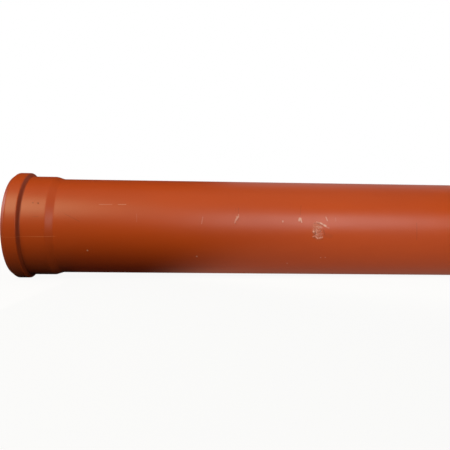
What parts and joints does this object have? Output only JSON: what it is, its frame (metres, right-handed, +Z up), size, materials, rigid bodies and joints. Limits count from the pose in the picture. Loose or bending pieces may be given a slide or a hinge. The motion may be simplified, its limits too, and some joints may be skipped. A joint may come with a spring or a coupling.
{
  "type": "pvc sewer pipe",
  "caption": "Orange-brown plastic sewer pipe with a belled socket, a beaded mouth that holds a rubber lip ring, and a chamfered plain spigot end.",
  "frame": {"origin": "on the floor, midway along the pipe and straight below its axis", "axes": "+X along the pipe from the socket to the spigot, falling by half a degree because the pipe lies on its bead and its spigot; +Z up"},
  "size_m": [1.0817, 0.1792, 0.1793],
  "materials": {
    "pvc": "satin",
    "seal_rubber": "satin"
  },
  "bodies": {
    "root": {"pipe": "pvc", "sealing_ring": "seal_rubber"}
  },
  "joints": []
}
